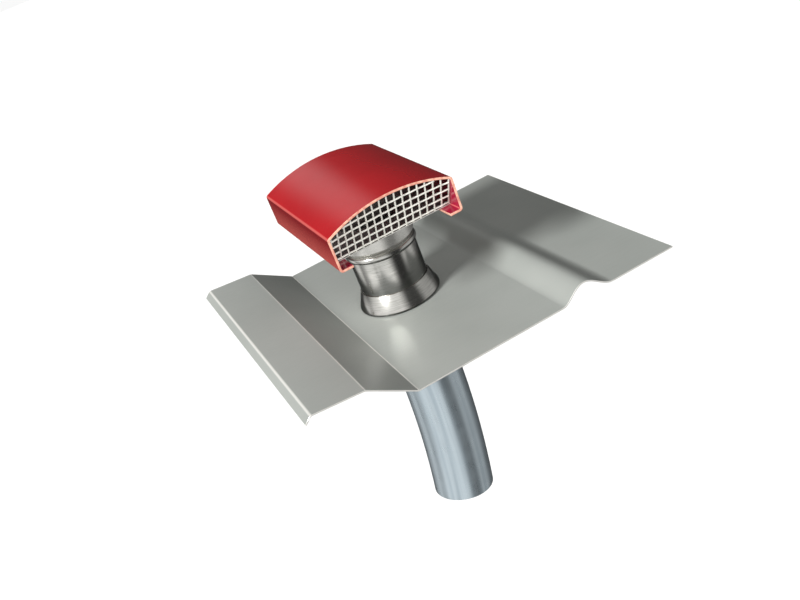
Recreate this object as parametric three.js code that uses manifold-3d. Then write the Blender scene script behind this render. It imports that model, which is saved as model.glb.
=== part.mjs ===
// A roof vent for a 125 mm air duct, in millimetres.
// The roof's plane is level: +X runs up the slope, Y runs across it and +Z stands off the roof.
// The origin is on the pipe's axis, at the underside of the plate that lies on the roof.
import * as THREE from "three";
import { mergeVertices } from "three/addons/utils/BufferGeometryUtils.js";
import Module from "manifold-3d";

const wasm = await Module();
wasm.setup();

// Driving dimensions
const PIPE_RADIUS = 62.5;
const PIPE_WALL = 1.5;
const SHEET = 2.5;
const JOINT = 0.3;
const ROUND_SIDES = 28;
const SMALL_SIDES = 12;

const FLASHING_WIDTH = 640;
const LIP_END = -294;
const LIP_RISE = 43;
const APRON_FRONT = -281;
const APRON_FRONT_RISE = 54;
const STEP_TOP = -192;
const STEP_RISE = 46;
const PAN_START = -116;
const HUMP_START = 154;
const HUMP_LENGTH = 98;
const HUMP_RISE = 24;
const REAR_END = 372;
const BEND_RADIUS = 7;

const COLLAR_RADIUS = 60.7;
const COLLAR_RISE = 30;
const COLLAR_REACH = 80;

const STANDPIPE_RISE = 114;
const FOOT_FILLET = 10.5;
const HEM_RADIUS = 78;
const HEM_RISE = 36;
const HEM_CURL = 4;
const RIM_REACH = 4;
const RIM_HEIGHT = 12;

const COWL_LENGTH = 340;
const COWL_WIDTH = 230;
const COWL_SHEET = 4;
const COWL_LIFT = 165;
const COWL_WALL = 61;
const COWL_ARCH = 25;
const COWL_LIP = 24;
const COWL_SHIFT = -9;

const GRILLE_RECESS = 38;
const GRILLE_WIRE = 3.2;
const LEVEL_WIRE_DEPTH = 2;
const LEVEL_WIRE_RISE = 1;
const GRILLE_SETBACK = 2.2;
const GRILLE_COLUMNS = 16;
const GRILLE_ROWS = 5;

const PLATE_START = -182;
const PLATE_END = 240;
const PLATE_WIDTH = 400;
const PLATE_HEM = 10;

const SPIGOT_RADIUS = 53;
const SPIGOT_RISE = 28;
const BEAD_RADIUS = 65;
const BEAD_HEIGHT = 13;
const SHAFT_DROP = 92;
const SLEEVE_RADIUS = 63;
const SLEEVE_DROP = 156;
const DUCT_RADIUS = 59;
const DUCT_WALL = 2;
const DUCT_BEND_RADIUS = 1800;
const DUCT_ANGLE = THREE.MathUtils.degToRad(9);

const SCREW_RADIUS = 4;
const SCREW_LENGTH = 44;
const HUB_RADIUS = 6.5;
const HUB_HEIGHT = 7;
const WING_RADIUS = 6.5;
const WING_THICKNESS = 3;
const WING_EYE = 2.7;
const SCREW_PLACES = { wing_screw_lower: -162, wing_screw_upper: 200 };

// Levels that follow from them
const PLATE_TOP = SHEET;
const PAN_UNDERSIDE = PLATE_TOP + JOINT;
const PAN_TOP = PAN_UNDERSIDE + SHEET;
const RIM_LEVEL = PAN_TOP + STANDPIPE_RISE;
const COWL_FOOT = PAN_TOP + COWL_LIFT;
const COWL_EAVES = COWL_FOOT + COWL_WALL;
const BASE_LEVEL = COWL_FOOT + COWL_SHEET + JOINT;
const ARCH_RADIUS = (COWL_WIDTH ** 2 / 4 + COWL_ARCH ** 2) / (2 * COWL_ARCH);
const ARCH_CENTRE = COWL_EAVES + COWL_ARCH - ARCH_RADIUS;

const MATERIALS = {
  redPaint: { color: 0xa32330, roughness: 0.38, metalness: 0.0 },
  steel: { color: 0xc9cac8, roughness: 0.22, metalness: 1.0 },
  sheetMetal: { color: 0xa9aaa6, roughness: 0.5, metalness: 0.7 },
  wire: { color: 0xdfe0dc, roughness: 0.45, metalness: 0.4 },
  greyPlastic: { color: 0x6d7b84, roughness: 0.4, metalness: 0.0 },
};

// Solids and meshes

function toSolid(geometry) {
  const bare = geometry.clone();
  bare.deleteAttribute("normal");
  bare.deleteAttribute("uv");
  const merged = mergeVertices(bare, 1e-4);
  const mesh = new wasm.Mesh({
    numProp: 3,
    vertProperties: Float32Array.from(merged.attributes.position.array),
    triVerts: Uint32Array.from(merged.index.array),
  });
  return new wasm.Manifold(mesh);
}

function toGeometry(solid) {
  const mesh = solid.getMesh();
  const geometry = new THREE.BufferGeometry();
  geometry.setAttribute("position", new THREE.BufferAttribute(mesh.vertProperties, 3));
  geometry.setIndex(new THREE.BufferAttribute(mesh.triVerts, 1));
  geometry.computeVertexNormals();
  return geometry;
}

function union(geometries) {
  return toGeometry(geometries.map(toSolid).reduce((whole, piece) => whole.add(piece)));
}

function cut(body, tools) {
  return toGeometry(tools.map(toSolid).reduce((whole, tool) => whole.subtract(tool), toSolid(body)));
}

function named(name, geometry, material) {
  const mesh = new THREE.Mesh(geometry, new THREE.MeshStandardMaterial(MATERIALS[material]));
  mesh.name = name;
  return mesh;
}

// An upright round bar from one level to another
function upright(radius, bottom, top, x = 0, sides = ROUND_SIDES) {
  const bar = new THREE.CylinderGeometry(radius, radius, top - bottom, sides);
  bar.rotateX(Math.PI / 2);
  bar.translate(x, 0, (top + bottom) / 2);
  return bar;
}

function box(xMin, xMax, width, zMin, zMax) {
  const block = new THREE.BoxGeometry(xMax - xMin, width, zMax - zMin);
  block.translate((xMin + xMax) / 2, 0, (zMin + zMax) / 2);
  return block;
}

// Turns a closed profile of radius and level about the upright axis
function turned(profile) {
  const points = [...profile, profile[0]].map(([radius, level]) => new THREE.Vector2(radius, level));
  const outward = THREE.ShapeUtils.area(points) > 0 ? points : points.reverse();
  const body = new THREE.LatheGeometry(outward, ROUND_SIDES);
  body.rotateX(Math.PI / 2);
  return body;
}

// Points on an arc, in radians, of a profile
function arc(centreX, centreY, radius, from, to, steps) {
  const points = [];
  for (let i = 0; i <= steps; i += 1) {
    const angle = from + ((to - from) * i) / steps;
    points.push([centreX + radius * Math.cos(angle), centreY + radius * Math.sin(angle)]);
  }
  return points;
}

// Replaces each inner corner of a path, a point and a radius, by an arc that touches both of its sides
function roundCorners(corners, steps = 4) {
  const place = ([x, y]) => new THREE.Vector2(x, y);
  const path = [place(corners[0]).toArray()];
  for (let i = 1; i < corners.length - 1; i += 1) {
    const radius = corners[i][2];
    const here = place(corners[i]);
    const back = place(corners[i - 1]).sub(here).normalize();
    const onward = place(corners[i + 1]).sub(here).normalize();
    const halfAngle = Math.acos(back.dot(onward)) / 2;
    const centre = back.clone().add(onward).setLength(radius / Math.sin(halfAngle)).add(here);
    const start = here.clone().addScaledVector(back, radius / Math.tan(halfAngle)).sub(centre);
    const end = here.clone().addScaledVector(onward, radius / Math.tan(halfAngle)).sub(centre);
    const turn = Math.atan2(start.cross(end), start.dot(end));
    path.push(...arc(centre.x, centre.y, radius, start.angle(), start.angle() + turn, steps));
  }
  path.push(place(corners.at(-1)).toArray());
  return path;
}

// The face of a sheet that lies to the right of a path along its other face
function otherFace(path, thickness) {
  const points = path.map(([x, y]) => new THREE.Vector2(x, y));
  return points.map((point, i) => {
    const before = points[Math.max(i - 1, 0)];
    const after = points[Math.min(i + 1, points.length - 1)];
    const intoPoint = point.clone().sub(before).normalize();
    const outOfPoint = after.clone().sub(point).normalize();
    const first = i === 0 ? outOfPoint : intoPoint;
    const last = i === points.length - 1 ? intoPoint : outOfPoint;
    const along = first.clone().add(last).normalize();
    const reach = thickness / along.dot(first);
    return [point.x + along.y * reach, point.y - along.x * reach];
  });
}

// The outline of a sheet whose one face follows a path and whose other face lies to its right
function sheetOutline(path, thickness) {
  return [...path, ...otherFace(path, thickness).reverse()];
}

// A profile of x and level, drawn out across the roof to a width
function drawnAcross(outline, width) {
  const shape = new THREE.Shape(outline.map(([x, y]) => new THREE.Vector2(x, y)));
  const body = new THREE.ExtrudeGeometry(shape, { depth: width, bevelEnabled: false });
  body.rotateX(Math.PI / 2);
  body.translate(0, width / 2, 0);
  return body;
}

// The hood: an arch between two walls, with a lip turned in at the foot of each

function archLevel(x, radius) {
  return ARCH_CENTRE + Math.sqrt(radius ** 2 - x ** 2);
}

function cowl() {
  const half = COWL_WIDTH / 2;
  const halfAngle = Math.asin(half / ARCH_RADIUS);
  const arch = arc(0, ARCH_CENTRE, ARCH_RADIUS, Math.PI / 2 + halfAngle, Math.PI / 2 - halfAngle, 16);
  const left = [[COWL_LIP - half, COWL_FOOT], [-half, COWL_FOOT]];
  const right = [[half, COWL_FOOT], [half - COWL_LIP, COWL_FOOT]];
  const path = [...left, ...arch, ...right];
  return drawnAcross(sheetOutline(path, COWL_SHEET), COWL_LENGTH);
}

// The plate on the lips, with a neck that steps in to fit the standpipe
function cowlBase() {
  const half = COWL_WIDTH / 2 - COWL_SHEET - JOINT;
  const top = BASE_LEVEL + PIPE_WALL;
  const reach = COWL_LENGTH / 2 - GRILLE_RECESS;
  const upper = PIPE_RADIUS + RIM_REACH;
  const lower = PIPE_RADIUS - PIPE_WALL - 3 * JOINT;
  const step = upper - lower;
  const shoulder = RIM_LEVEL + 4 * JOINT;
  const foot = RIM_LEVEL - PIPE_RADIUS / 2;
  const neck = turned([
    [lower - PIPE_WALL, foot],
    [lower, foot],
    [lower, shoulder],
    [upper, shoulder + step],
    [upper, top],
    [upper - PIPE_WALL, top],
    [upper - PIPE_WALL, shoulder + step],
    [lower - PIPE_WALL, shoulder],
  ]);
  const blank = box(COWL_SHIFT - half, COWL_SHIFT + half, 2 * reach, BASE_LEVEL, top);
  const plate = cut(blank, [upright(upper - PIPE_WALL / 2, BASE_LEVEL - 1, top + 1)]);
  return union([plate, neck]);
}

// A wire mesh that stands on the plate and leans out in proportion to its height under the arch.
// Its level wires pass through the middle of its upright ones.
function grille(side) {
  const half = (COWL_WIDTH - GRILLE_WIRE) / 2 - COWL_SHEET - JOINT;
  const foot = BASE_LEVEL + PIPE_WALL + JOINT;
  const inner = ARCH_RADIUS - COWL_SHEET - JOINT;
  const rowPitch = (archLevel(0, inner) - foot - GRILLE_WIRE) / GRILLE_ROWS;
  const columns = Array.from({ length: GRILLE_COLUMNS + 1 }, (_, i) => (2 * i / GRILLE_COLUMNS - 1) * half);
  const leaned = (x, level) => {
    const rise = (level - foot) / (archLevel(x, inner) - foot);
    return side * (COWL_LENGTH / 2 - GRILLE_SETBACK - GRILLE_RECESS * (1 - rise));
  };
  const wires = columns.map((x) => {
    const top = archLevel(Math.abs(x) + GRILLE_WIRE / 2, inner);
    const wire = box(x - GRILLE_WIRE / 2, x + GRILLE_WIRE / 2, GRILLE_WIRE, foot, top);
    return shifted(wire, (_, level) => leaned(x, level));
  });
  for (let j = 0; j < GRILLE_ROWS; j += 1) {
    const level = foot + LEVEL_WIRE_RISE + j * rowPitch;
    const reach = Math.sqrt(inner ** 2 - (level + GRILLE_WIRE - ARCH_CENTRE) ** 2);
    const end = Math.min(half, reach);
    const places = [-end, ...columns.filter((x) => Math.abs(x) < end - GRILLE_WIRE), end];
    for (let i = 1; i < places.length; i += 1) {
      const middle = (places[i - 1] + places[i]) / 2;
      const wire = box(places[i - 1], places[i], LEVEL_WIRE_DEPTH, level, level + GRILLE_WIRE);
      wires.push(shifted(wire, (x, z) => leaned(x, level) + leaned(middle, z) - leaned(middle, level)));
    }
  }
  return union(wires);
}

// Moves each point of a body across the roof, by a distance that depends on its x and its level
function shifted(body, across) {
  const points = body.attributes.position;
  for (let i = 0; i < points.count; i += 1) {
    points.setY(i, points.getY(i) + across(points.getX(i), points.getZ(i)));
  }
  return body;
}

// The roof sheet: lip, apron, step, pan, hump and rear margin

function humpCurve(steps) {
  const points = [];
  for (let i = 0; i <= steps; i += 1) {
    const share = i / steps;
    const rise = (HUMP_RISE * (1 - Math.cos(2 * Math.PI * share ** 0.9))) / 2;
    points.push([HUMP_START + share * HUMP_LENGTH, PAN_TOP + rise]);
  }
  return points;
}

function flashing() {
  const front = roundCorners([
    [LIP_END, PAN_TOP + LIP_RISE],
    [APRON_FRONT, PAN_TOP + APRON_FRONT_RISE, BEND_RADIUS],
    [STEP_TOP, PAN_TOP + STEP_RISE, BEND_RADIUS],
    [PAN_START, PAN_TOP, BEND_RADIUS],
    [0, PAN_TOP],
  ]).slice(0, -1);
  const path = [...front, ...humpCurve(16), [REAR_END, PAN_TOP]];
  const sheet = drawnAcross(sheetOutline(path, SHEET), FLASHING_WIDTH);
  const hole = upright(COLLAR_REACH - SHEET, PAN_UNDERSIDE - 1, PAN_TOP + 1);
  return union([cut(sheet, [hole]), collar()]);
}

// The sheet's turned-up collar round its hole, inside the tube
function collar() {
  const path = roundCorners([
    [COLLAR_RADIUS, PAN_TOP + COLLAR_RISE],
    [COLLAR_RADIUS, PAN_TOP, FOOT_FILLET + JOINT],
    [COLLAR_REACH, PAN_TOP],
  ], 3);
  return turned(sheetOutline(path, SHEET));
}

// The tube on the roof sheet. Its foot flares and is turned back up to the wall in a hollow hem,
// and its rim has a bead.
function standpipe() {
  const foot = PAN_TOP + JOINT;
  const inner = PIPE_RADIUS - PIPE_WALL;
  const path = roundCorners([
    [PIPE_RADIUS + JOINT + PIPE_WALL, foot + HEM_RISE],
    [HEM_RADIUS, foot, HEM_CURL],
    [inner, foot, FOOT_FILLET],
    [inner, RIM_LEVEL],
  ], 3);
  const rim = bead(PIPE_RADIUS, RIM_LEVEL, RIM_LEVEL - RIM_HEIGHT, RIM_REACH);
  return turned([...path, ...rim, ...otherFace(path, PIPE_WALL).reverse().slice(1)]);
}

// A half-round bead on a pipe's outer face, from its top level down
function bead(radius, top, bottom, reach, steps = 4) {
  const middle = (top + bottom) / 2;
  const half = (top - bottom) / 2;
  const turns = arc(0, 0, 1, Math.PI / 2, -Math.PI / 2, steps);
  return turns.map(([out, up]) => [radius + out * reach, middle + up * half]);
}

// The plate under the roof sheet, with its lower edge folded back on itself
function lowerPlate() {
  const plate = box(PLATE_START, PLATE_END, PLATE_WIDTH, 0, SHEET);
  const hem = box(PLATE_START, PLATE_START + PLATE_HEM, PLATE_WIDTH, SHEET / 2, 2 * SHEET);
  const holes = [upright(BEAD_RADIUS + JOINT, -1, SHEET + 1)];
  for (const x of Object.values(SCREW_PLACES)) {
    holes.push(upright(SCREW_RADIUS + JOINT, -1, SHEET + 1, x, SMALL_SIDES));
  }
  return cut(union([plate, hem]), holes);
}

// The lower pipe and the duct

function lowerPipe() {
  const mouth = PAN_TOP + SPIGOT_RISE;
  const beadFoot = PAN_TOP - BEAD_HEIGHT;
  const shaftFoot = PAN_TOP - SHAFT_DROP;
  const lowBeadFoot = shaftFoot - BEAD_HEIGHT;
  const tail = DUCT_RADIUS - DUCT_WALL - 3 * JOINT;
  const tailFoot = PAN_TOP - SLEEVE_DROP + BEAD_HEIGHT / 2;
  return turned([
    [SPIGOT_RADIUS - PIPE_WALL, mouth],
    [SPIGOT_RADIUS, mouth],
    [SPIGOT_RADIUS, PAN_TOP],
    ...bead(PIPE_RADIUS, PAN_TOP - JOINT, beadFoot, BEAD_RADIUS - PIPE_RADIUS),
    ...bead(PIPE_RADIUS, shaftFoot, lowBeadFoot, BEAD_RADIUS - PIPE_RADIUS),
    [tail, lowBeadFoot],
    [tail, tailFoot],
    [tail - PIPE_WALL, tailFoot],
    [tail - PIPE_WALL, lowBeadFoot + PIPE_WALL],
    [PIPE_RADIUS - PIPE_WALL, lowBeadFoot + PIPE_WALL],
    [PIPE_RADIUS - PIPE_WALL, PAN_TOP - PIPE_WALL],
    [SPIGOT_RADIUS - PIPE_WALL, PAN_TOP - PIPE_WALL],
  ]);
}

function sleeve() {
  const top = PAN_TOP - SHAFT_DROP - BEAD_HEIGHT - JOINT;
  const foot = PAN_TOP - SLEEVE_DROP;
  const inner = DUCT_RADIUS + JOINT;
  return turned([
    [inner, top],
    [SLEEVE_RADIUS - 1, top],
    [SLEEVE_RADIUS, top - 1],
    [inner + DUCT_WALL, foot],
    [inner, foot],
  ]);
}

// The duct's middle line: straight down out of the sleeve, then bent towards the eaves
class DuctLine extends THREE.Curve {
  constructor() {
    super();
    this.top = PAN_TOP - SHAFT_DROP - BEAD_HEIGHT - 2 * JOINT;
    this.bendStart = PAN_TOP - SLEEVE_DROP;
    this.bendLength = DUCT_BEND_RADIUS * DUCT_ANGLE;
  }

  getPoint(share) {
    const straight = this.top - this.bendStart;
    const travelled = share * (straight + this.bendLength);
    if (travelled <= straight) {
      return new THREE.Vector3(0, 0, this.top - travelled);
    }
    const angle = (travelled - straight) / DUCT_BEND_RADIUS;
    const x = -DUCT_BEND_RADIUS * (1 - Math.cos(angle));
    return new THREE.Vector3(x, 0, this.bendStart - DUCT_BEND_RADIUS * Math.sin(angle));
  }
}

function duct() {
  const ring = new THREE.Shape().absarc(0, 0, DUCT_RADIUS, 0, 2 * Math.PI);
  ring.holes.push(new THREE.Path().absarc(0, 0, DUCT_RADIUS - DUCT_WALL, 0, 2 * Math.PI, true));
  return new THREE.ExtrudeGeometry(ring, {
    extrudePath: new DuctLine(),
    steps: 7,
    curveSegments: ROUND_SIDES / 2,
  });
}

// The screws that clamp the plate, each with a hub and two rounded wings with an eye

function wingScrew() {
  const seat = PLATE_TOP + JOINT;
  const wingLevel = seat + HUB_HEIGHT + WING_RADIUS - 1;
  const places = [-WING_RADIUS - JOINT, WING_RADIUS + JOINT];
  const body = union([
    upright(SCREW_RADIUS, seat - SCREW_LENGTH, seat + 1, 0, SMALL_SIDES),
    upright(HUB_RADIUS, seat, seat + HUB_HEIGHT, 0, SMALL_SIDES),
    ...places.map((x) => wingDisc(WING_RADIUS, x, wingLevel, WING_THICKNESS)),
  ]);
  return cut(body, places.map((x) => wingDisc(WING_EYE, x, wingLevel, 2 * WING_THICKNESS)));
}

// A disc that faces across the roof
function wingDisc(radius, x, level, width) {
  const disc = new THREE.CylinderGeometry(radius, radius, width, SMALL_SIDES);
  disc.translate(x, 0, level);
  return disc;
}

const hood = new THREE.Group();
hood.position.x = COWL_SHIFT;
hood.add(named("cowl", cowl(), "redPaint"));
hood.add(named("grille_near", grille(-1), "wire"));
hood.add(named("grille_far", grille(1), "wire"));

const vent = new THREE.Group();
vent.add(hood);
vent.add(named("cowl_base", cowlBase(), "steel"));
vent.add(named("flashing", flashing(), "sheetMetal"));
vent.add(named("standpipe", standpipe(), "steel"));
vent.add(named("lower_plate", lowerPlate(), "sheetMetal"));
vent.add(named("lower_pipe", lowerPipe(), "steel"));
vent.add(named("sleeve", sleeve(), "greyPlastic"));
vent.add(named("duct", duct(), "greyPlastic"));
for (const [name, x] of Object.entries(SCREW_PLACES)) {
  const screw = named(name, wingScrew(), "steel");
  screw.position.x = x;
  vent.add(screw);
}

export default vent;
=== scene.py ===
# A roof vent for a 125 mm air duct, dressed around its solids. Lengths are in metres.
# The roof's plane is level: +X runs up the slope, Y runs across it and +Z stands off the roof.
# The origin is on the pipe's axis, at the underside of the plate that lies on the roof.
import math

import bmesh
import bpy
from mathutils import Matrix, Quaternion, Vector


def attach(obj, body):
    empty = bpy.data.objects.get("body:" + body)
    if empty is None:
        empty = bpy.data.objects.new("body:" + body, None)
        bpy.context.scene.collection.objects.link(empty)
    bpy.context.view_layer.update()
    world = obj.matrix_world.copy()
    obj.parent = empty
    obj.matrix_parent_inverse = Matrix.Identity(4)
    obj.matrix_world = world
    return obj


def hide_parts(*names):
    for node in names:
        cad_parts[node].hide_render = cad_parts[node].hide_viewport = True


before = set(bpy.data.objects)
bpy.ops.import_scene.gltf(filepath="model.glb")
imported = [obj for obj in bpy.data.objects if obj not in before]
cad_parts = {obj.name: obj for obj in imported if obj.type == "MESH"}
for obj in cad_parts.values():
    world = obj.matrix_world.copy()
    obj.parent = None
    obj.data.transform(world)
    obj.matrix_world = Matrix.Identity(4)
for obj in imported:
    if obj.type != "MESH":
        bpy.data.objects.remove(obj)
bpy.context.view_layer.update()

# Driving dimensions
PIPE_RADIUS = 0.0625
PIPE_WALL = 0.0015
SHEET = 0.0025
JOINT = 0.0003
PLUG_PLAY = 0.0009
ROUND_SIDES = 96
CORNER_STEPS = 4
BEND_STEPS = 6
FILLET_STEPS = 12
BEAD_STEPS = 12
EDGE_BEVEL = 0.0004
BEVEL_SHARE = 0.2
SMOOTH_ANGLE = math.radians(38)

FLASHING_WIDTH = 0.640
FLASHING_STATIONS = 16
LIP_END = -0.294
LIP_RISE = 0.043
APRON_FRONT = -0.281
APRON_FRONT_RISE = 0.054
STEP_TOP = -0.192
STEP_RISE = 0.046
PAN_START = -0.116
HUMP_START = 0.154
HUMP_LENGTH = 0.098
HUMP_RISE = 0.024
HUMP_LEAN = 0.9
HUMP_STEPS = 32
REAR_END = 0.372
BEND_RADIUS = 0.007
COLLAR_RADIUS = 0.0607
COLLAR_RISE = 0.030
COLLAR_REACH = 0.080

STANDPIPE_RISE = 0.114
FOOT_FILLET = 0.0105
HEM_RADIUS = 0.078
HEM_RISE = 0.036
HEM_CURL = 0.004
RIM_REACH = 0.004
RIM_HEIGHT = 0.012

COWL_LENGTH = 0.340
COWL_WIDTH = 0.230
COWL_SHEET = 0.004
COWL_LIFT = 0.165
COWL_WALL = 0.061
COWL_ARCH = 0.025
COWL_LIP = 0.024
COWL_SHIFT = -0.009
COWL_BEND = 0.004
ARCH_STEPS = 40
COWL_STATIONS = 12
BASE_STATIONS = 2
NECK_LIFT = 0.0012
NECK_BEND = 0.0012

GRILLE_RECESS = 0.038
GRILLE_SETBACK = 0.0022
GRILLE_WIRE = 0.0032
LEVEL_WIRE_RISE = 0.001
GRILLE_COLUMNS = 16
GRILLE_ROWS = 5
WEAVE = 0.0004
WIRE_SIDES = 10
WIRE_STEPS = 6

PLATE_START = -0.182
PLATE_END = 0.240
PLATE_WIDTH = 0.400
PLATE_HEM = 0.010
HEM_STEPS = 8
PLATE_STATIONS = 8
FACE_GAP = 0.0001

SPIGOT_RADIUS = 0.053
SPIGOT_RISE = 0.028
BEAD_RADIUS = 0.065
BEAD_HEIGHT = 0.013
SHAFT_DROP = 0.092
SLEEVE_RADIUS = 0.063
SLEEVE_DROP = 0.156
SLEEVE_EDGE = 0.0012
DUCT_RADIUS = 0.059
DUCT_WALL = 0.002
DUCT_BEND_RADIUS = 1.800
DUCT_ANGLE = math.radians(9)
DUCT_STEPS = 48

SCREW_RADIUS = 0.004
SCREW_LENGTH = 0.044
HUB_RADIUS = 0.0065
HUB_HEIGHT = 0.007
HUB_SIDES = 32
WING_RADIUS = 0.0065
WING_THICKNESS = 0.003
WING_EYE = 0.0027
THREAD_PITCH = 0.00125
THREAD_DEPTH = 0.0006
THREAD_SIDES = 20
THREAD_ROWS = 6
TIP_NARROWING = 0.35
WING_SINK = 0.001
WING_STEPS = 32
SCREW_PLACES = {"wing_screw_lower": -0.162, "wing_screw_upper": 0.200}

# The places of a mix node's colour sockets
MIX_SHARE = 0
MIX_FIRST = 6
MIX_SECOND = 7
MIX_RESULT = 2

# Levels that follow from the dimensions
PLATE_TOP = SHEET
PAN_UNDERSIDE = PLATE_TOP + JOINT
PAN_TOP = PAN_UNDERSIDE + SHEET
RIM_LEVEL = PAN_TOP + STANDPIPE_RISE
COWL_FOOT = PAN_TOP + COWL_LIFT
COWL_EAVES = COWL_FOOT + COWL_WALL
BASE_LEVEL = COWL_FOOT + COWL_SHEET + JOINT
ARCH_RADIUS = (COWL_WIDTH ** 2 / 4 + COWL_ARCH ** 2) / (2 * COWL_ARCH)
ARCH_CENTRE = COWL_EAVES + COWL_ARCH - ARCH_RADIUS

# The camera, the floor and the light
CAMERA_YAW = math.radians(15.0)
CAMERA_DROP = math.radians(25.6)
CAMERA_ROLL = math.radians(21.8)
CAMERA_TARGET = Vector((-0.004, 0.003, -0.005))
CAMERA_DISTANCE = 1.833
CAMERA_LENS = 45.0
CAMERA_SENSOR = 36.0
FLOOR_LEVEL = -2.4
FLOOR_SIZE = 60.0
FLOOR_SIDES = 64
KEY_FROM = Vector((-0.80, -0.28, 0.53))
KEY_STRENGTH = 4.8
KEY_ANGLE = math.radians(14)
FILL_FROM = Vector((0.05, -0.96, 0.26))
FILL_STRENGTH = 3.2
FILL_ANGLE = math.radians(40)
AMBIENT = 0.17
BACKDROP = 0.95

# Pale and dark panels around the part, seen in reflections: a direction in degrees and a brightness
LOW_PANELS = (
    (-180, 1.00), (-157, 1.00), (-151, 0.45), (-145, 1.00), (-104, 0.95), (-92, 0.34), (-84, 0.03),
    (-58, 0.03), (-46, 0.50), (-8, 0.55), (12, 0.12), (70, 0.04), (114, 0.03), (136, 0.70),
    (146, 0.85), (156, 0.20), (170, 0.50), (180, 1.00),
)
HIGH_PANELS = (
    (-180, 0.80), (-112, 0.80), (-90, 0.06), (-56, 0.05), (-40, 0.45), (0, 0.35), (16, 0.05),
    (60, 0.03), (75, 0.05), (81, 0.44), (87, 0.44), (94, 0.05), (140, 0.08), (164, 0.70), (180, 0.80),
)
PANEL_BLEND = 0.08

# Colours, as a screen shows them
CRIMSON = (174, 26, 32)
DEEP_CRIMSON = (158, 22, 28)
# Painted shade on the hood's walls, below the eaves
EAVE_SHADE_RED = (116, 14, 20)
# Painted highlight along the hood's creases
CREASE_HIGHLIGHT_PINK = (218, 116, 108)
# Painted bounce light towards the foot of the hood's walls
FOOT_BOUNCE_RED = (206, 92, 84)
# Painted bounce light inside the hood: a magenta copy of the red, with DEEP_MAGENTA for its patches
MAGENTA_RED = (158, 20, 54)
DEEP_MAGENTA = (138, 18, 46)
PAINT_EDGE = (222, 176, 152)
EDGE_SHADE = (196, 128, 112)
SHEET_GREY = (172, 175, 170)
SHEET_SHADE = (158, 162, 157)
# Pale bare metal on cut edges, and the painted highlight along the sheets' bends
PALE_METAL_AND_BEND_HIGHLIGHT = (230, 229, 223)
PLATE_GREY = (190, 194, 196)
CUT_METAL = (236, 234, 228)
BRIGHT_STEEL = (226, 224, 218)
STEEL_SHADE = (196, 196, 190)
WIRE_WHITE = (240, 238, 230)
WIRE_SHADE = (206, 204, 194)
SLEEVE_GREY = (186, 200, 210)
SLEEVE_SHADE = (172, 186, 196)
DUCT_GREY = (184, 196, 202)
DUCT_SHADE = (164, 177, 184)
FLOOR_WHITE = (247, 247, 246)
FLOOR_SHADE = (243, 243, 241)


def linear(colour):
    """A screen colour as the light values that shaders use."""
    shares = [channel / 255 for channel in colour]
    return (*[((s + 0.055) / 1.055) ** 2.4 if s > 0.04045 else s / 12.92 for s in shares], 1.0)


class Shape:
    """The points and faces of a piece.

    Each point has a share of painted bend highlight, 1 on a bend's middle, and a place before bending. Each
    face has a zone, the number of its material.
    """

    def __init__(self):
        self.points = []
        self.unbent = []
        self.bend_highlight = []
        self.faces = []
        self.zones = []

    def add_points(self, points, unbent=None, bend_highlight=None):
        first = len(self.points)
        self.points += points
        self.unbent += unbent or points
        self.bend_highlight += bend_highlight or [0.0] * len(points)
        return first

    def add_face(self, corners, zone=0):
        self.faces.append(corners)
        self.zones.append(zone)

    def loft(self, rings, unbent=None, closed=False, zone=0):
        """Joins rings of points in turn, and either closes the last to the first or caps both ends."""
        size = len(rings[0])
        first = self.add_points(
            [point for ring in rings for point in ring],
            [point for ring in unbent or rings for point in ring],
        )
        for row in range(len(rings) if closed else len(rings) - 1):
            here = first + row * size
            onward = first + (row + 1) % len(rings) * size
            for i in range(size):
                j = (i + 1) % size
                self.add_face((here + i, here + j, onward + j, onward + i), zone)
        if not closed:
            self.add_face(tuple(range(first, first + size))[::-1], zone)
            last = first + (len(rings) - 1) * size
            self.add_face(tuple(range(last, last + size)), zone)

    def turn(self, corners, place=None):
        """Turns a closed profile of radius, level and corner radius about the pipe's axis or a line."""
        profile, _ = rounded(corners, closed=True, steps=CORNER_STEPS)
        straight = [circle(radius, level) for radius, level in profile]
        rings = straight
        if place:
            rings = []
            for ring in straight:
                centre, across = place(ring[0].z)
                rings.append([centre + across * point.x + Vector((0, point.y, 0)) for point in ring])
        self.loft(rings, straight, closed=True)

    def drawn_sheet(self, path, bend_highlight, thickness, width, stations, inner_zone=0):
        """A sheet about a middle path of x and level, drawn across the roof, with softened edges."""
        bevel = min(EDGE_BEVEL, BEVEL_SHARE * thickness)
        path, bend_highlight = with_softened_ends(path, bend_highlight, bevel)
        half = thickness / 2
        edge = width / 2
        inner = edge - bevel
        rows = [(-edge, half - bevel)]
        rows += [(-inner + 2 * inner * i / stations, half) for i in range(stations + 1)]
        rows += [(edge, half - bevel)]
        count = len(path)
        size = 2 * count
        points = [Vector((x, y, z)) for y, reach in rows for x, z in sheet_loop(path, reach, bevel)]
        first = self.add_points(points, bend_highlight=(bend_highlight + bend_highlight[::-1]) * len(rows))
        path_ends = (0, count - 2, count - 1, count, size - 2, size - 1)
        for row in range(len(rows) - 1):
            here = first + row * size
            onward = here + size
            for i in range(size):
                j = (i + 1) % size
                at_edge = row in (0, len(rows) - 2) or i in path_ends
                zone = 1 if at_edge else inner_zone if i > count else 0
                self.add_face((here + i, here + j, onward + j, onward + i), zone)
        for start in (first, first + (len(rows) - 1) * size):
            for i in range(count - 1):
                self.add_face((start + i, start + i + 1, start + size - 2 - i, start + size - 1 - i), 1)


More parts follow.
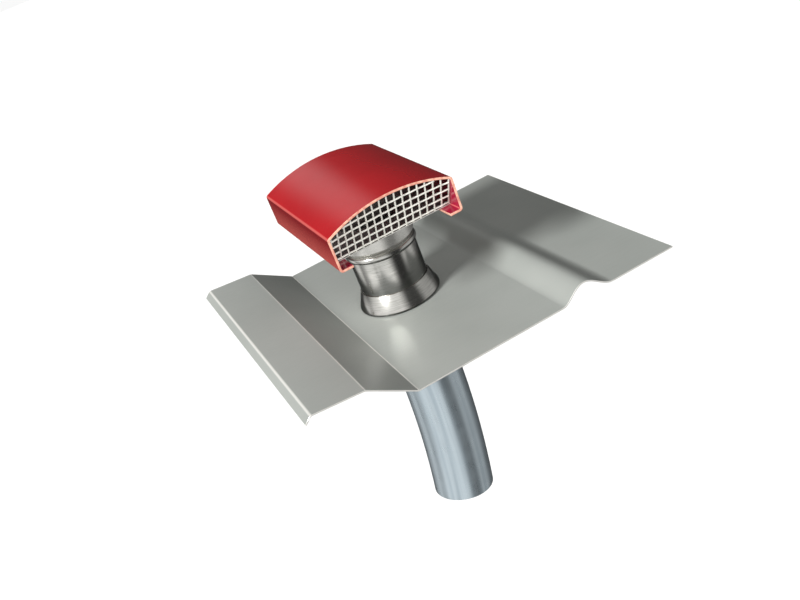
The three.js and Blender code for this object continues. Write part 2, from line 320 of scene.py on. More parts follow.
def sheet_loop(path, half, bevel):
    """Both faces of a sheet about a middle path, as one loop of x and level, thinner at its two ends."""
    last = len(path) - 1
    upper = []
    lower = []
    for i, here in enumerate(path):
        into = (here - path[i - 1]).normalized() if i > 0 else (path[1] - here).normalized()
        out = (path[i + 1] - here).normalized() if i < last else into
        along = (into + out).normalized()
        reach = (half - bevel if i in (0, last) else half) / along.dot(into)
        upper.append((here.x - along.y * reach, here.y + along.x * reach))
        lower.append((here.x + along.y * reach, here.y - along.x * reach))
    return upper + lower[::-1]


def other_face(path, thickness):
    """The face of a sheet that lies to the right of a path along its other face."""
    points = []
    for i, here in enumerate(path):
        into = (here - path[i - 1]).normalized() if i > 0 else (path[1] - here).normalized()
        out = (path[i + 1] - here).normalized() if i < len(path) - 1 else into
        along = (into + out).normalized()
        reach = thickness / along.dot(into)
        points.append(Vector((here.x + along.y * reach, here.y - along.x * reach)))
    return points


def softened(path, first=EDGE_BEVEL):
    """Points as corners without a radius, but for the first and the last."""
    radii = [first, *[0.0] * (len(path) - 2), EDGE_BEVEL]
    return [(*point, radius) for point, radius in zip(path, radii)]


def with_softened_ends(path, bend_highlight, bevel):
    """Adds a point just inside each end of a path, where the sheet reaches its full thickness."""
    start = path[0] + (path[1] - path[0]).normalized() * bevel
    end = path[-1] + (path[-2] - path[-1]).normalized() * bevel
    return [path[0], start, *path[1:-1], end, path[-1]], [bend_highlight[0], *bend_highlight, bend_highlight[-1]]


def arc(centre, radius, start, end, steps):
    """Points on an arc, in radians, of a profile."""
    angles = [start + (end - start) * i / steps for i in range(steps + 1)]
    return [centre + radius * Vector((math.cos(angle), math.sin(angle))) for angle in angles]


def rounded(corners, closed=False, steps=BEND_STEPS):
    """Turns corners of x, level and radius into a path, with an arc at each that has a radius.

    Gives the path and, for each of its points, 1 on an arc's middle, falling to 0 at its ends.
    """
    path = []
    bends = []
    count = len(corners)
    for i, (x, level, radius) in enumerate(corners):
        here = Vector((x, level))
        if radius == 0 or (not closed and i in (0, count - 1)):
            path.append(here)
            bends.append(0.0)
            continue
        back = (Vector(corners[i - 1][:2]) - here).normalized()
        onward = (Vector(corners[(i + 1) % count][:2]) - here).normalized()
        half_angle = math.acos(max(-1, min(1, back.dot(onward)))) / 2
        centre = here + (back + onward).normalized() * radius / math.sin(half_angle)
        start = here + back * radius / math.tan(half_angle) - centre
        end = here + onward * radius / math.tan(half_angle) - centre
        start_angle = math.atan2(start.y, start.x)
        turn = math.atan2(start.x * end.y - start.y * end.x, start.dot(end))
        path += arc(centre, radius, start_angle, start_angle + turn, steps)
        bends += [math.sin(math.pi * k / steps) for k in range(steps + 1)]
    return path, bends


def circle(radius, level, sides=ROUND_SIDES, x=0.0):
    angles = [2 * math.pi * i / sides for i in range(sides)]
    return [Vector((x + radius * math.cos(a), radius * math.sin(a), level)) for a in angles]


def tube_along(points, radius, sides=WIRE_SIDES):
    """Rings about a line that never runs across the roof."""
    across = Vector((0, 1, 0))
    rings = []
    for i, here in enumerate(points):
        along = (points[min(i + 1, len(points) - 1)] - points[max(i - 1, 0)]).normalized()
        side = along.cross(across).normalized()
        up = side.cross(along)
        angles = [2 * math.pi * k / sides for k in range(sides)]
        rings.append([here + radius * (math.cos(a) * side + math.sin(a) * up) for a in angles])
    return rings


def new_object(name, shape):
    mesh = bpy.data.meshes.new(name)
    mesh.from_pydata(shape.points, [], shape.faces)
    mesh.polygons.foreach_set("material_index", shape.zones)
    mesh.attributes.new("bend_highlight", "FLOAT", "POINT").data.foreach_set("value", shape.bend_highlight)
    places = [coordinate for point in shape.unbent for coordinate in point]
    mesh.attributes.new("unbent", "FLOAT_VECTOR", "POINT").data.foreach_set("vector", places)
    body = bmesh.new()
    body.from_mesh(mesh)
    bmesh.ops.recalc_face_normals(body, faces=body.faces)
    body.to_mesh(mesh)
    body.free()
    piece = bpy.data.objects.new(name, mesh)
    bpy.context.scene.collection.objects.link(piece)
    return piece


def replaced_mesh(piece, modifier_type, **settings):
    """Runs one modifier on a piece and keeps its result as the piece's mesh."""
    modifier = piece.modifiers.new(modifier_type.lower(), modifier_type)
    for key, value in settings.items():
        setattr(modifier, key, value)
    graph = bpy.context.evaluated_depsgraph_get()
    mesh = bpy.data.meshes.new_from_object(piece.evaluated_get(graph))
    piece.modifiers.clear()
    piece.data = mesh


def combine(piece, shape, operation):
    """Cuts a shape out of a piece, or joins it on, and takes the shape's own object away again."""
    tool = new_object("tool", shape)
    for material in piece.data.materials:
        tool.data.materials.append(material)
    replaced_mesh(piece, "BOOLEAN", operation=operation, solver="EXACT", object=tool)
    bpy.data.objects.remove(tool)


def weld(piece, shape):
    combine(piece, shape, "UNION")


def cut_hole(piece, radius, x=0.0, top=2 * PAN_TOP):
    """Cuts a round hole, square to the roof, through a sheet that lies below a level."""
    shape = Shape()
    shape.loft([circle(radius, level, x=x) for level in (-SHEET, top)], zone=1)
    combine(piece, shape, "DIFFERENCE")


def dress(piece):
    """Smooths a piece, and puts it on the part in place of the solid of its name."""
    piece.data.shade_smooth()
    piece.data.set_sharp_from_angle(angle=SMOOTH_ANGLE)
    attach(piece, "root")
    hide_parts(piece.name.removesuffix("_skin"))


def built(name, shape, materials, holes=()):
    piece = new_object(name + "_skin", shape)
    for material in materials:
        piece.data.materials.append(material)
    for radius, x in holes:
        cut_hole(piece, radius, x)
    dress(piece)
    return piece


# Finishes

class Finish:
    """A material in the making: a main shader and short calls for the nodes that feed it."""

    def __init__(self, name, **values):
        self.material = bpy.data.materials.new(name)
        self.material.use_nodes = True
        self.nodes = self.material.node_tree.nodes
        self.links = self.material.node_tree.links
        self.shader = self.nodes["Principled BSDF"]
        for key, value in values.items():
            self.shader.inputs[key.replace("_", " ")].default_value = value

    def node(self, kind, inputs, output=0, **settings):
        """Adds a node, sets or links its inputs and gives one of its outputs."""
        made = self.nodes.new(kind)
        for key, value in settings.items():
            setattr(made, key, value)
        for key, value in inputs.items():
            if isinstance(value, bpy.types.NodeSocket):
                self.links.new(value, made.inputs[key])
            else:
                made.inputs[key].default_value = value
        return made.outputs[output]

    def attribute(self, name, output):
        return self.node("ShaderNodeAttribute", {}, output, attribute_name=name)

    def place(self, stretch=(1, 1, 1)):
        """The surface's place before bending, stretched so that a pattern runs along it or around it."""
        inputs = {"Vector": self.attribute("unbent", "Vector"), "Scale": stretch}
        return self.node("ShaderNodeMapping", inputs)

    def noise(self, scale, detail=3.0, stretch=(1, 1, 1)):
        inputs = {"Vector": self.place(stretch), "Scale": scale, "Detail": detail}
        return self.node("ShaderNodeTexNoise", inputs, "Fac")

    def spread(self, value, low, high, start=0.35, end=0.65):
        """Maps a noise's middle range to two values."""
        inputs = {"Value": value, "From Min": start, "From Max": end, "To Min": low, "To Max": high}
        return self.node("ShaderNodeMapRange", inputs)

    def mix(self, share, first, second):
        inputs = {MIX_SHARE: share, MIX_FIRST: first, MIX_SECOND: second}
        return self.node("ShaderNodeMix", inputs, MIX_RESULT, data_type="RGBA")

    def add(self, first, second):
        return self.node("ShaderNodeMath", {0: first, 1: second}, operation="ADD")

    def feed(self, socket, value):
        self.links.new(value, self.shader.inputs[socket])

    def bump(self, height, depth):
        inputs = {"Height": height, "Distance": depth, "Strength": 1.0}
        self.feed("Normal", self.node("ShaderNodeBump", inputs))


def red_paint(name, light, shade, bounce_light, eave_shade):
    """Gloss paint, deeper in patches, with painted shade on the walls under the eaves, painted highlights
    along the creases and painted bounce light towards the walls' feet.
    """
    finish = Finish(name, Coat_Weight=0.3, Coat_Roughness=0.12, Specular_IOR_Level=0.5)
    patches = finish.spread(finish.noise(scale=5, detail=2), low=0, high=1, start=0.3, end=0.75)
    colour = finish.mix(patches, linear(light), linear(shade))
    level = finish.node("ShaderNodeSeparateXYZ", {"Vector": finish.place()}, "Z")
    # Painted shade: the walls below the eaves take a share of a deep red, the arch above takes none.
    painted_eave_shade = finish.spread(level, low=eave_shade, high=0, start=COWL_EAVES - COWL_BEND, end=COWL_EAVES)
    colour = finish.mix(painted_eave_shade, colour, linear(EAVE_SHADE_RED))
    # Painted bounce light: the walls grow paler towards their foot, as if lit from the roof below.
    foot = finish.spread(level, low=bounce_light, high=0, start=COWL_FOOT, end=COWL_EAVES - 2 * COWL_BEND)
    colour = finish.mix(foot, colour, linear(FOOT_BOUNCE_RED))
    # Painted highlight along the creases, by the share of bend highlight at each point.
    painted_crease_light = finish.spread(finish.attribute("bend_highlight", "Fac"), low=0, high=0.6, start=0.1, end=1)
    finish.feed("Base Color", finish.mix(painted_crease_light, colour, linear(CREASE_HIGHLIGHT_PINK)))
    finish.feed("Roughness", finish.spread(finish.noise(scale=60), low=0.2, high=0.25))
    return finish.material


def paint_edge():
    """The sheet's edge, where the paint has drawn back to its pale ground."""
    finish = Finish("paint_edge", Roughness=0.45)
    chips = finish.spread(finish.noise(scale=140), low=0, high=1)
    finish.feed("Base Color", finish.mix(chips, linear(PAINT_EDGE), linear(EDGE_SHADE)))
    finish.bump(finish.noise(scale=1200, detail=2), depth=0.00003)
    return finish.material


def steel(name, light, shade, roughness, stretch):
    """Polished steel with a fine grain and faint smears."""
    finish = Finish(name, Metallic=1.0)
    grain = finish.noise(scale=700, detail=4, stretch=stretch)
    smears = finish.noise(scale=18, detail=3)
    dull = finish.spread(finish.add(grain, smears), low=0, high=1, start=0.8, end=1.25)
    finish.feed("Base Color", finish.mix(dull, linear(light), linear(shade)))
    finish.feed("Roughness", finish.spread(smears, low=roughness, high=roughness + 0.06))
    finish.bump(grain, depth=0.000008)
    return finish.material


def satin_sheet(name, light, shade, metallic, roughness):
    """Satin sheet metal, clouded, with a rolled grain up the slope and painted highlights along the bends.
    """
    finish = Finish(name, Metallic=metallic)
    clouds = finish.spread(finish.noise(scale=4, detail=3), low=0, high=1, start=0.25, end=0.75)
    colour = finish.mix(clouds, linear(light), linear(shade))
    # Painted highlight: the bends are lightened towards a pale metal colour.
    painted_bend_light = finish.spread(finish.attribute("bend_highlight", "Fac"), low=0, high=0.9, start=0.1, end=1)
    finish.feed("Base Color", finish.mix(painted_bend_light, colour, linear(PALE_METAL_AND_BEND_HIGHLIGHT)))
    grain = finish.noise(scale=500, detail=3, stretch=(0.06, 1, 1))
    finish.feed("Roughness", finish.spread(grain, low=roughness, high=roughness + 0.1))
    finish.bump(grain, depth=0.00002)
    return finish.material


def cut_edge():
    """A bright sheared edge of sheet metal."""
    finish = Finish("cut_edge", Metallic=0.6)
    finish.feed("Base Color", finish.mix(finish.noise(scale=400), linear(CUT_METAL), linear(PALE_METAL_AND_BEND_HIGHLIGHT)))
    finish.feed("Roughness", finish.spread(finish.noise(scale=800), low=0.3, high=0.42))
    return finish.material


def wire():
    """Dull white coated wire."""
    finish = Finish("mesh_wire", Metallic=0.1)
    dirt = finish.noise(scale=90, detail=4)
    finish.feed("Base Color", finish.mix(dirt, linear(WIRE_WHITE), linear(WIRE_SHADE)))
    finish.feed("Roughness", finish.spread(finish.noise(scale=200), low=0.4, high=0.55))
    finish.bump(finish.noise(scale=1500, detail=2), depth=0.00005)
    return finish.material


def grey_tube(name, light, shade, roughness):
    """Smooth grey tube wall with faint lengthwise drawing lines."""
    finish = Finish(name, Metallic=0.85, Specular_IOR_Level=0.8)
    lines = finish.spread(finish.noise(scale=110, detail=3, stretch=(1, 1, 0.02)), low=0, high=1)
    finish.feed("Base Color", finish.mix(lines, linear(light), linear(shade)))
    finish.feed("Roughness", finish.spread(finish.noise(scale=30), low=roughness, high=roughness + 0.08))
    finish.bump(finish.noise(scale=320, detail=4, stretch=(1, 1, 0.03)), depth=0.00001)
    return finish.material


# The hood

def arch_level(x, radius):
    return ARCH_CENTRE + math.sqrt(radius ** 2 - x ** 2)


def cowl(materials):
    """The hood's sheet: an arch between two walls, with a lip turned in at the foot of each."""
    half = (COWL_WIDTH - COWL_SHEET) / 2
    foot = COWL_FOOT + COWL_SHEET / 2
    radius = ARCH_RADIUS - COWL_SHEET / 2
    half_angle = math.asin(half / radius)
    centre = Vector((0, ARCH_CENTRE))
    arch = arc(centre, radius, math.pi / 2 + half_angle, math.pi / 2 - half_angle, ARCH_STEPS)
    left = [(COWL_LIP - COWL_WIDTH / 2, foot, 0), (-half, foot, COWL_BEND), (*arch[0], COWL_BEND)]
    right = [(-x, level, bend) for x, level, bend in left[::-1]]
    path, bend_highlight = rounded([*left, *[(*point, 0) for point in arch[1:-1]], *right])
    path = [point + Vector((COWL_SHIFT, 0)) for point in path]
    shape = Shape()
    shape.drawn_sheet(path, bend_highlight, COWL_SHEET, COWL_LENGTH, COWL_STATIONS, inner_zone=2)
    return built("cowl", shape, materials)


def cowl_base(materials):
    """The plate on the lips, and a neck that steps in to fit the standpipe."""
    half = COWL_WIDTH / 2 - COWL_SHEET - JOINT
    reach = COWL_LENGTH / 2 - GRILLE_RECESS
    upper = PIPE_RADIUS + RIM_REACH
    lower = PIPE_RADIUS - PIPE_WALL - PLUG_PLAY
    shoulder = RIM_LEVEL + NECK_LIFT
    step = upper - lower
    shape = Shape()
    level = BASE_LEVEL + PIPE_WALL / 2
    path = [Vector((COWL_SHIFT + side * half, level)) for side in (-1, 1)]
    shape.drawn_sheet(path, [0.0, 0.0], PIPE_WALL, 2 * reach, BASE_STATIONS)
    piece = new_object("cowl_base_skin", shape)
    for material in materials:
        piece.data.materials.append(material)
    cut_hole(piece, upper - PIPE_WALL / 2, top=COWL_FOOT + COWL_WALL)
    neck = Shape()
    neck.turn([
        (lower - PIPE_WALL, RIM_LEVEL - PIPE_RADIUS / 2, EDGE_BEVEL),
        (lower, RIM_LEVEL - PIPE_RADIUS / 2, EDGE_BEVEL),
        (lower, shoulder, NECK_BEND),
        (upper, shoulder + step, NECK_BEND),
        (upper, BASE_LEVEL + PIPE_WALL - FACE_GAP, EDGE_BEVEL),
        (upper - PIPE_WALL, BASE_LEVEL + PIPE_WALL - FACE_GAP, EDGE_BEVEL),
        (upper - PIPE_WALL, shoulder + step, NECK_BEND),
        (lower - PIPE_WALL, shoulder, NECK_BEND),
    ])
    weld(piece, neck)
    dress(piece)


def grille(name, side, material):
    """A mesh of round wires, crossing over and under, that leans out to the arch's end."""
    half = (COWL_WIDTH - GRILLE_WIRE) / 2 - COWL_SHEET - JOINT
    foot = BASE_LEVEL + PIPE_WALL + JOINT
    inner = ARCH_RADIUS - COWL_SHEET - JOINT
    row_pitch = (arch_level(0, inner) - foot - GRILLE_WIRE) / GRILLE_ROWS
    column_pitch = 2 * half / GRILLE_COLUMNS
    first_row = foot + LEVEL_WIRE_RISE + GRILLE_WIRE / 2

    def leaned(x, level, over):
        rise = (level - foot) / (arch_level(x, inner) - foot)
        y = side * (COWL_LENGTH / 2 - GRILLE_SETBACK - GRILLE_RECESS * (1 - rise) + over * WEAVE)
        return Vector((COWL_SHIFT + x, y, level))

    shape = Shape()
    for i in range(GRILLE_COLUMNS + 1):
        x = -half + i * column_pitch
        top = arch_level(abs(x) + GRILLE_WIRE / 2, inner)
        steps = WIRE_STEPS * GRILLE_ROWS
        levels = [foot + (top - foot) * k / steps for k in range(steps + 1)]
        turns = [math.pi * (i + (level - first_row) / row_pitch) for level in levels]
        line = [leaned(x, level, math.cos(turn)) for level, turn in zip(levels, turns)]
        shape.loft(tube_along(line, GRILLE_WIRE / 2))
    for j in range(GRILLE_ROWS):
        level = first_row + j * row_pitch
        end = min(half, math.sqrt(inner ** 2 - (level + GRILLE_WIRE / 2 - ARCH_CENTRE) ** 2))
        steps = WIRE_STEPS * GRILLE_COLUMNS
        places = [-end + 2 * end * k / steps for k in range(steps + 1)]
        turns = [math.pi * (j + 1 + (x + half) / column_pitch) for x in places]
        line = [leaned(x, level, math.cos(turn)) for x, turn in zip(places, turns)]
        shape.loft(tube_along(line, GRILLE_WIRE / 2))
    return built(name, shape, [material])


# The roof sheet and the plate under it

def flashing(materials):
    """The roof sheet: lip, apron, step, pan, hump and rear margin, with a collar up round its hole."""
    middle = PAN_TOP - SHEET / 2
    corners = [
        (LIP_END + SHEET / 4, middle + LIP_RISE + SHEET / 4, 0),
        (APRON_FRONT, middle + APRON_FRONT_RISE, BEND_RADIUS),
        (STEP_TOP, middle + STEP_RISE, BEND_RADIUS),
        (PAN_START, middle, BEND_RADIUS),
        (HUMP_START, middle, 0),
    ]
    path, bend_highlight = rounded(corners)
    for i in range(1, HUMP_STEPS + 1):
        share = i / HUMP_STEPS
        rise = HUMP_RISE * (1 - math.cos(2 * math.pi * share ** HUMP_LEAN)) / 2
        path.append(Vector((HUMP_START + share * HUMP_LENGTH, middle + rise)))
        bend_highlight.append(0.0)
    path.append(Vector((REAR_END, middle)))
    bend_highlight.append(0.0)
    shape = Shape()
    shape.drawn_sheet(path, bend_highlight, SHEET, FLASHING_WIDTH, FLASHING_STATIONS)
    piece = new_object("flashing_skin", shape)
    for material in materials:
        piece.data.materials.append(material)
    cut_hole(piece, COLLAR_REACH - 2 * SHEET)
    weld(piece, collar())
    dress(piece)
    piece.visible_glossy = False


def collar():
    """The sheet's turned-up collar, whose flat part lies within the sheet."""
    top = PAN_TOP - FACE_GAP
    path, _ = rounded([
        (COLLAR_RADIUS, PAN_TOP + COLLAR_RISE, 0),
        (COLLAR_RADIUS, top, FOOT_FILLET + JOINT),
        (COLLAR_REACH, top, 0),
    ], steps=FILLET_STEPS)
    under = other_face(path, SHEET - 2 * FACE_GAP)
    shape = Shape()
    shape.turn([*softened(path), *softened(under[::-1])])
    return shape


def lower_plate(materials):
    """The plate under the roof sheet, with its lower edge folded back on itself."""
    thickness = SHEET - FACE_GAP
    fold = arc(Vector((PLATE_START + SHEET, SHEET)), SHEET / 2, math.pi / 2, 3 * math.pi / 2, HEM_STEPS)
    path = [Vector((PLATE_START + PLATE_HEM, SHEET * 1.5)), *fold, Vector((PLATE_END, SHEET / 2))]
    bend_highlight = [0.0] * len(path)
    shape = Shape()
    shape.drawn_sheet(path, bend_highlight, thickness, PLATE_WIDTH, PLATE_STATIONS)
    holes = [(SCREW_RADIUS + JOINT, x) for x in SCREW_PLACES.values()]
    return built("lower_plate", shape, materials, [(BEAD_RADIUS + JOINT, 0), *holes])


# The pipes

def standpipe(material):
    """The tube on the roof sheet, with its foot turned back up in a hollow hem and a bead at its rim."""
    foot = PAN_TOP + JOINT
    inner = PIPE_RADIUS - PIPE_WALL
    path, _ = rounded([
        (PIPE_RADIUS + JOINT + PIPE_WALL, foot + HEM_RISE, 0),
        (HEM_RADIUS, foot, HEM_CURL),
        (inner, foot, FOOT_FILLET),
        (inner, RIM_LEVEL, 0),
    ], steps=FILLET_STEPS)
    rim = bead(PIPE_RADIUS, RIM_LEVEL, RIM_LEVEL - RIM_HEIGHT, RIM_REACH)
    outer = other_face(path, PIPE_WALL)[-2::-1]
    shape = Shape()
    shape.turn([*softened(path), *rim, *softened(outer, first=0.0)])
    return built("standpipe", shape, [material])


def bead(radius, top, bottom, reach):
    """A half-round bead on a pipe's outer face, from its top level down."""
    middle = (top + bottom) / 2
    half = (top - bottom) / 2
    turns = arc(Vector((0, 0)), 1, math.pi / 2, -math.pi / 2, BEAD_STEPS)
    return [(radius + out * reach, middle + up * half, 0) for out, up in turns]


def lower_pipe(material):
    mouth = PAN_TOP + SPIGOT_RISE
    shaft_foot = PAN_TOP - SHAFT_DROP
    low_bead_foot = shaft_foot - BEAD_HEIGHT
    tail = DUCT_RADIUS - DUCT_WALL - PLUG_PLAY
    tail_foot = PAN_TOP - SLEEVE_DROP + BEAD_HEIGHT / 2
    shape = Shape()
    shape.turn([
        (SPIGOT_RADIUS - PIPE_WALL, mouth, EDGE_BEVEL),
        (SPIGOT_RADIUS, mouth, EDGE_BEVEL),
        (SPIGOT_RADIUS, PAN_TOP, NECK_BEND),
        *bead(PIPE_RADIUS, PAN_TOP - JOINT, PAN_TOP - BEAD_HEIGHT, BEAD_RADIUS - PIPE_RADIUS),
        *bead(PIPE_RADIUS, shaft_foot, low_bead_foot, BEAD_RADIUS - PIPE_RADIUS),
        (tail, low_bead_foot, EDGE_BEVEL),
        (tail, tail_foot, EDGE_BEVEL),
        (tail - PIPE_WALL, tail_foot, EDGE_BEVEL),
        (tail - PIPE_WALL, low_bead_foot + PIPE_WALL, EDGE_BEVEL),
        (PIPE_RADIUS - PIPE_WALL, low_bead_foot + PIPE_WALL, EDGE_BEVEL),
        (PIPE_RADIUS - PIPE_WALL, PAN_TOP - PIPE_WALL, EDGE_BEVEL),
        (SPIGOT_RADIUS - PIPE_WALL, PAN_TOP - PIPE_WALL, EDGE_BEVEL),
    ])
    return built("lower_pipe", shape, [material])


def sleeve(material):
    top = PAN_TOP - SHAFT_DROP - BEAD_HEIGHT - JOINT
    foot = PAN_TOP - SLEEVE_DROP
    inner = DUCT_RADIUS + JOINT
    shape = Shape()
    shape.turn([
        (inner, top, EDGE_BEVEL),
        (SLEEVE_RADIUS, top, SLEEVE_EDGE),
        (inner + DUCT_WALL, foot, SLEEVE_EDGE / 2),
        (inner, foot, EDGE_BEVEL),
    ])
    return built("sleeve", shape, [material])


def duct_place(level):
    """The duct's middle line: its place and the direction towards +X in its section, at an unbent level."""
    bend_start = PAN_TOP - SLEEVE_DROP
    angle = max(0.0, bend_start - level) / DUCT_BEND_RADIUS
    x = -DUCT_BEND_RADIUS * (1 - math.cos(angle))
    z = max(level, bend_start) - DUCT_BEND_RADIUS * math.sin(angle)
    return Vector((x, 0, z)), Vector((math.cos(angle), 0, -math.sin(angle)))


def duct(material):
    top = PAN_TOP - SHAFT_DROP - BEAD_HEIGHT - 2 * JOINT
    foot = PAN_TOP - SLEEVE_DROP - DUCT_BEND_RADIUS * DUCT_ANGLE
    inner = DUCT_RADIUS - DUCT_WALL
    down = [(DUCT_RADIUS, top + (foot - top) * i / DUCT_STEPS, 0) for i in range(1, DUCT_STEPS)]
    up = [(inner, level, 0) for _, level, _ in down[::-1]]
    corners = [(DUCT_RADIUS, top, EDGE_BEVEL), *down, (DUCT_RADIUS, foot, EDGE_BEVEL)]
    corners += [(inner, foot, EDGE_BEVEL), *up, (inner, top, EDGE_BEVEL)]
    shape = Shape()
    shape.turn(corners, duct_place)
    return built("duct", shape, [material])


# The screws that clamp the plate

def wing_screw(name, x, material):
    """A threaded shank under a hub with two rounded wings, each with an eye."""
    seat = PLATE_TOP + JOINT
    wing_level = seat + HUB_HEIGHT + WING_RADIUS - WING_SINK
    piece = new_object(name + "_skin", hub(x, seat))
    piece.data.materials.append(material)
    weld(piece, shank(x, seat))
    for side in (-1, 1):
        weld(piece, wing(x + side * (WING_RADIUS + JOINT), wing_level))
    dress(piece)


def shank(x, seat):
    """A thread, drawn as rings whose radius follows the helix, and a tip that narrows."""
    foot = seat - SCREW_LENGTH
    top = seat + HUB_HEIGHT / 2
    rows = round((top - foot) / THREAD_PITCH * THREAD_ROWS)
    rings = []
    for row in range(rows + 1):
        level = foot + (top - foot) * row / rows
        room = min(1.0, (level - foot + THREAD_DEPTH) / THREAD_PITCH)
        ring = []
        for i in range(THREAD_SIDES):
            share = i / THREAD_SIDES
            groove = abs(2 * ((level / THREAD_PITCH - share) % 1) - 1)
            radius = (SCREW_RADIUS - THREAD_DEPTH * groove) * (1 - TIP_NARROWING * (1 - room))
            angle = 2 * math.pi * share
            ring.append(Vector((x + radius * math.cos(angle), radius * math.sin(angle), level)))
        rings.append(ring)
    shape = Shape()
    shape.loft(rings)
    return shape


def hub(x, seat):
    profile, _ = rounded([
        (EDGE_BEVEL, seat, 0),
        (HUB_RADIUS, seat, EDGE_BEVEL),
        (HUB_RADIUS, seat + HUB_HEIGHT / 2, 0),
        (HUB_RADIUS - 2 * EDGE_BEVEL, seat + HUB_HEIGHT, 2 * EDGE_BEVEL),
        (EDGE_BEVEL, seat + HUB_HEIGHT, 0),
    ])
    shape = Shape()
    shape.loft([circle(radius, level, HUB_SIDES, x) for radius, level in profile])
    return shape


def wing(x, level):
    """A rounded ring that faces across the roof."""
    rings = []
    for i in range(WING_STEPS):
        angle = 2 * math.pi * i / WING_STEPS
        out = Vector((math.cos(angle), 0, math.sin(angle)))
        centre = Vector((x, 0, level)) + out * (WING_RADIUS + WING_EYE) / 2
        turns = [2 * math.pi * k / WIRE_SIDES for k in range(WIRE_SIDES)]
        reach = (WING_RADIUS - WING_EYE) / 2
        rise = Vector((0, WING_THICKNESS / 2, 0))
        rings.append([centre + out * reach * math.cos(a) + rise * math.sin(a) for a in turns])
    shape = Shape()
    shape.loft(rings, closed=True)
    return shape


# The camera, the floor and the light

def place_camera():
    forward = Vector((
        math.sin(CAMERA_YAW) * math.cos(CAMERA_DROP),
        math.cos(CAMERA_YAW) * math.cos(CAMERA_DROP),
        -math.sin(CAMERA_DROP),
    ))
    camera = bpy.data.objects.new("camera", bpy.data.cameras.new("camera"))
    camera.data.lens = CAMERA_LENS
    camera.data.sensor_width = CAMERA_SENSOR
    camera.location = CAMERA_TARGET - CAMERA_DISTANCE * forward
    camera.rotation_mode = "QUATERNION"
    camera.rotation_quaternion = Quaternion(forward, CAMERA_ROLL) @ forward.to_track_quat("-Z", "Y")
    bpy.context.scene.collection.objects.link(camera)
    bpy.context.scene.camera = camera


def lay_floor():
    """A plain pale floor, seen by the camera alone, so that the reflections stay those of the studio."""
    shape = Shape()
    shape.loft([circle(FLOOR_SIZE, level, FLOOR_SIDES) for level in (FLOOR_LEVEL - SHEET, FLOOR_LEVEL)])
    floor = new_object("floor", shape)
    finish = Finish("floor_white", Roughness=0.9)
    finish.feed("Base Color", finish.mix(finish.noise(scale=3), linear(FLOOR_WHITE), linear(FLOOR_SHADE)))
    floor.data.materials.append(finish.material)
    floor.visible_diffuse = False
    floor.visible_glossy = False


def sun(name, direction, strength, angle):
    light = bpy.data.objects.new(name, bpy.data.lights.new(name, "SUN"))
    light.data.energy = strength
    light.data.angle = angle
    light.rotation_mode = "QUATERNION"
    light.rotation_quaternion = direction.to_track_quat("Z", "Y")
    bpy.context.scene.collection.objects.link(light)
    return light


def light_studio():
    """A broad key from the upper left, a soft fill from the front, and pale and dark panels all round.

    The fill isn't seen in reflections, and the panels are seen in nothing else.
    """
    sun("key", KEY_FROM, KEY_STRENGTH, KEY_ANGLE)
    fill = sun("fill", FILL_FROM, FILL_STRENGTH, FILL_ANGLE)
    fill.visible_glossy = False
    world = bpy.data.worlds.new("studio")
    world.use_nodes = True
    bpy.context.scene.world = world
    bpy.context.scene.view_settings.view_transform = "Standard"
    nodes = world.node_tree.nodes
    links = world.node_tree.links
    paths = nodes.new("ShaderNodeLightPath")
    glossy, camera = (paths.outputs[name] for name in ("Is Glossy Ray", "Is Camera Ray"))
    reflected = mixed_light(nodes, links, glossy, grey(AMBIENT), panels(nodes, links))
    seen = mixed_light(nodes, links, camera, reflected, grey(BACKDROP))
    links.new(seen, nodes["Background"].inputs["Color"])


def grey(level):
    return (level, level, level, 1.0)


def mixed_light(nodes, links, share, first, second):
    mix = nodes.new("ShaderNodeMix")
    mix.data_type = "RGBA"
    links.new(share, mix.inputs[MIX_SHARE])
    for socket, value in ((MIX_FIRST, first), (MIX_SECOND, second)):
        if isinstance(value, bpy.types.NodeSocket):
            links.new(value, mix.inputs[socket])
        else:
            mix.inputs[socket].default_value = value
    return mix.outputs[MIX_RESULT]


def panels(nodes, links):
    """The panels' brightness by their direction around the part, in a row above and a row below."""
    place = nodes.new("ShaderNodeTexCoord")
    parts = nodes.new("ShaderNodeSeparateXYZ")
    turn = nodes.new("ShaderNodeMath")
    turn.operation = "ARCTAN2"
    links.new(place.outputs["Generated"], parts.inputs[0])
    links.new(parts.outputs["Y"], turn.inputs[0])
    links.new(parts.outputs["X"], turn.inputs[1])
    around = share_of(nodes, links, turn.outputs[0], math.pi)
    above = share_of(nodes, links, parts.outputs["Z"], PANEL_BLEND)
    rows = [panel_row(nodes, links, around, row) for row in (LOW_PANELS, HIGH_PANELS)]
    return mixed_light(nodes, links, above, *rows)


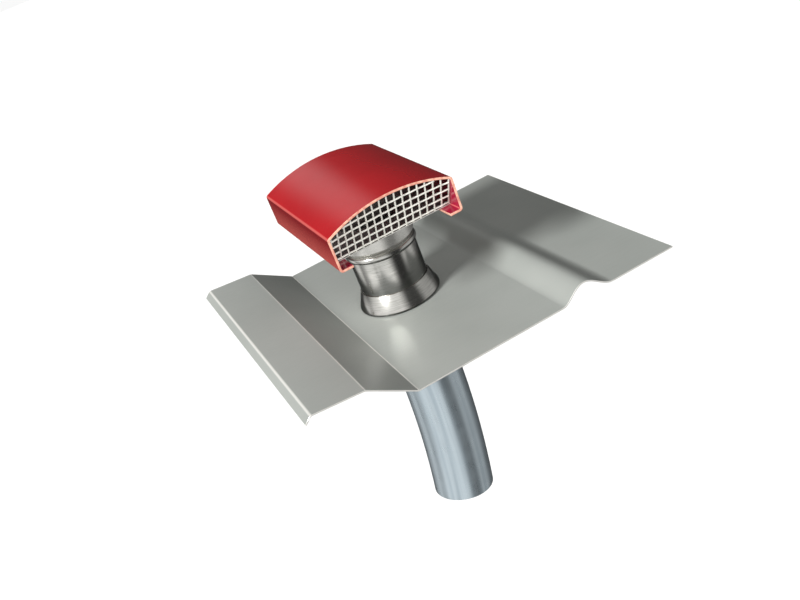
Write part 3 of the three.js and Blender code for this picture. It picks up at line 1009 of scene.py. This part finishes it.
def share_of(nodes, links, value, reach):
    """A value's share of the way from below zero to above it, by a reach."""
    share = nodes.new("ShaderNodeMapRange")
    share.inputs["From Min"].default_value = -reach
    share.inputs["From Max"].default_value = reach
    links.new(value, share.inputs["Value"])
    return share.outputs[0]


def panel_row(nodes, links, share, row):
    ramp = nodes.new("ShaderNodeValToRGB")
    links.new(share, ramp.inputs[0])
    stops = ramp.color_ramp.elements
    for degrees, _ in row[1:-1]:
        stops.new((degrees + 180) / 360)
    for stop, (_, level) in zip(stops, row):
        stop.color = grey(level)
    return ramp.outputs[0]


def main():
    place_camera()
    lay_floor()
    light_studio()
    edge = cut_edge()
    bright = steel("bright_steel", BRIGHT_STEEL, STEEL_SHADE, roughness=0.16, stretch=(0.05, 0.05, 1))
    neck_sheet = satin_sheet("neck_steel", BRIGHT_STEEL, STEEL_SHADE, metallic=0.85, roughness=0.26)
    roof_sheet = satin_sheet("sheet_metal", SHEET_GREY, SHEET_SHADE, metallic=0.25, roughness=0.42)
    plate_sheet = satin_sheet("plate_metal", PLATE_GREY, SHEET_SHADE, metallic=0.6, roughness=0.38)
    white_wire = wire()
    screw_steel = steel("screw_steel", BRIGHT_STEEL, STEEL_SHADE, roughness=0.2, stretch=(1, 1, 1))
    outside = red_paint("red_paint", CRIMSON, DEEP_CRIMSON, bounce_light=0.85, eave_shade=0.8)
    # Painted bounce light: the hood's inside faces take a magenta copy of the red paint.
    inside = red_paint("inside_bounce_paint", MAGENTA_RED, DEEP_MAGENTA, bounce_light=0.0, eave_shade=0.0)
    cowl([outside, paint_edge(), inside])
    cowl_base([neck_sheet, edge])
    grille("grille_near", -1, white_wire)
    grille("grille_far", 1, white_wire)
    flashing([roof_sheet, edge])
    standpipe(bright)
    lower_plate([plate_sheet, edge])
    lower_pipe(bright)
    sleeve(grey_tube("sleeve_grey", SLEEVE_GREY, SLEEVE_SHADE, roughness=0.24))
    duct(grey_tube("duct_grey", DUCT_GREY, DUCT_SHADE, roughness=0.26))
    for name, x in SCREW_PLACES.items():
        wing_screw(name, x, screw_steel)


main()
